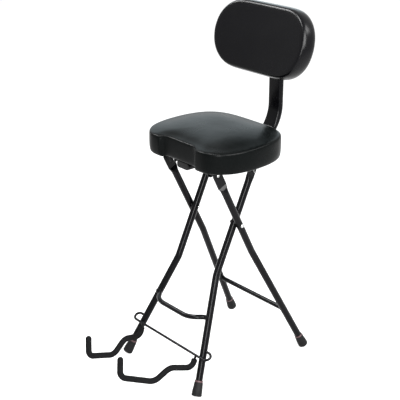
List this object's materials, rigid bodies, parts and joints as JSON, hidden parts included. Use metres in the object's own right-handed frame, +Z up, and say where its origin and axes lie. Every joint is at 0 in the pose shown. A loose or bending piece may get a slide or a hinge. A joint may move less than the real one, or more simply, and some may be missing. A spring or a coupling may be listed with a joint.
{
  "type": "folding guitar stool",
  "caption": "Folding X-frame stool for guitar players: hollow-fronted padded seat, bent back post with oval backrest, footrest bar and fold-down guitar cradle.",
  "frame": {"origin": "on the floor, under the middle of the stool's length and width", "axes": "+Z up; -Y is the way the user faces, where the cradle reaches out; +X is the user's right as seen from in front of the backrest, the row's symmetry plane is X = 0"},
  "size_m": [0.3898, 0.7126, 1.1096],
  "materials": {
    "black_enamel": "satin to gloss black powder coat",
    "zinc_steel": "bright zinc plate",
    "black_rubber": "matte moulded rubber",
    "rose_trim": "dull rose plastic",
    "black_vinyl": "black leather-look vinyl, glossy on the seat",
    "painted_board": "black-painted plywood",
    "black_plastic": "black moulded plastic",
    "sleeve_foam": "black soft foam tube"
  },
  "bodies": {
    "rear_frame": {"rear_leg_left": "black_enamel", "rear_leg_right": "black_enamel", "rear_crossbar": "black_enamel", "rear_boot_left": "black_rubber", "rear_boot_right": "black_rubber", "rear_ring_left": "rose_trim", "rear_ring_right": "rose_trim", "pivot_bolt_left": "zinc_steel", "pivot_bolt_right": "zinc_steel", "pivot_nut_left": "black_enamel", "pivot_nut_right": "black_enamel", "pivot_washer_left": "black_plastic", "pivot_washer_right": "black_plastic", "hinge_bolt_left": "zinc_steel", "hinge_bolt_right": "zinc_steel", "hinge_nut_left": "zinc_steel", "hinge_nut_right": "zinc_steel", "hinge_spacer_left": "black_plastic", "hinge_spacer_right": "black_plastic"},
    "front_frame": {"front_leg_left": "black_enamel", "front_leg_right": "black_enamel", "footrest_bar": "black_enamel", "footrest_screw_left": "black_enamel", "footrest_screw_right": "black_enamel", "front_boot_left": "black_rubber", "front_boot_right": "black_rubber", "front_ring_left": "rose_trim", "front_ring_right": "rose_trim", "latch_housing_left": "zinc_steel", "latch_housing_right": "zinc_steel"},
    "cradle": {"cradle_wire": "black_enamel", "cradle_rod_left": "black_enamel", "cradle_rod_right": "black_enamel", "cradle_sleeve_left": "sleeve_foam", "cradle_sleeve_right": "sleeve_foam"},
    "seat": {"seat_cushion": "black_vinyl", "seat_board": "painted_board", "seat_channel_left": "black_enamel", "seat_channel_right": "black_enamel", "channel_screw_front_left": "zinc_steel", "channel_screw_front_right": "zinc_steel", "channel_screw_rear_left": "zinc_steel", "channel_screw_rear_right": "zinc_steel", "back_post": "black_enamel", "post_front_plug": "black_plastic", "post_top_plug": "black_plastic", "post_bolt_front": "zinc_steel", "post_bolt_rear": "zinc_steel", "backrest_pad": "black_vinyl", "backrest_board": "painted_board", "backrest_bracket": "black_enamel", "backrest_rivet_lower": "zinc_steel", "backrest_rivet_upper": "zinc_steel", "backrest_screw_left": "zinc_steel", "backrest_screw_right": "zinc_steel"},
    "latch_left": {"latch_pin_left": "zinc_steel", "latch_ring_left": "zinc_steel"},
    "latch_right": {"latch_pin_right": "zinc_steel", "latch_ring_right": "zinc_steel"}
  },
  "joints": [
    {"name": "leg_fold", "type": "hinge", "parent": "rear_frame", "child": "front_frame", "pos_m": [0, 0.0895, 0.4865], "axis": [1, 0, 0], "range_deg": [0, 42]},
    {"name": "seat_tilt", "type": "hinge", "parent": "rear_frame", "child": "seat", "pos_m": [0, -0.00253, 0.6687], "axis": [1, 0, 0], "range_deg": [0, 105]},
    {"name": "cradle_fold", "type": "hinge", "parent": "front_frame", "child": "cradle", "pos_m": [0, -0.07767, 0.128], "axis": [-1, 0, 0], "range_deg": [0, 95]},
    {"name": "latch_pull_left", "type": "slide", "parent": "front_frame", "child": "latch_left", "axis": [-1, 0, 0], "range_m": [0, 0.006], "stiffness_N_per_m": 600, "springref_m": -0.003},
    {"name": "latch_pull_right", "type": "slide", "parent": "front_frame", "child": "latch_right", "axis": [1, 0, 0], "range_m": [0, 0.006], "stiffness_N_per_m": 600, "springref_m": -0.003}
  ]
}
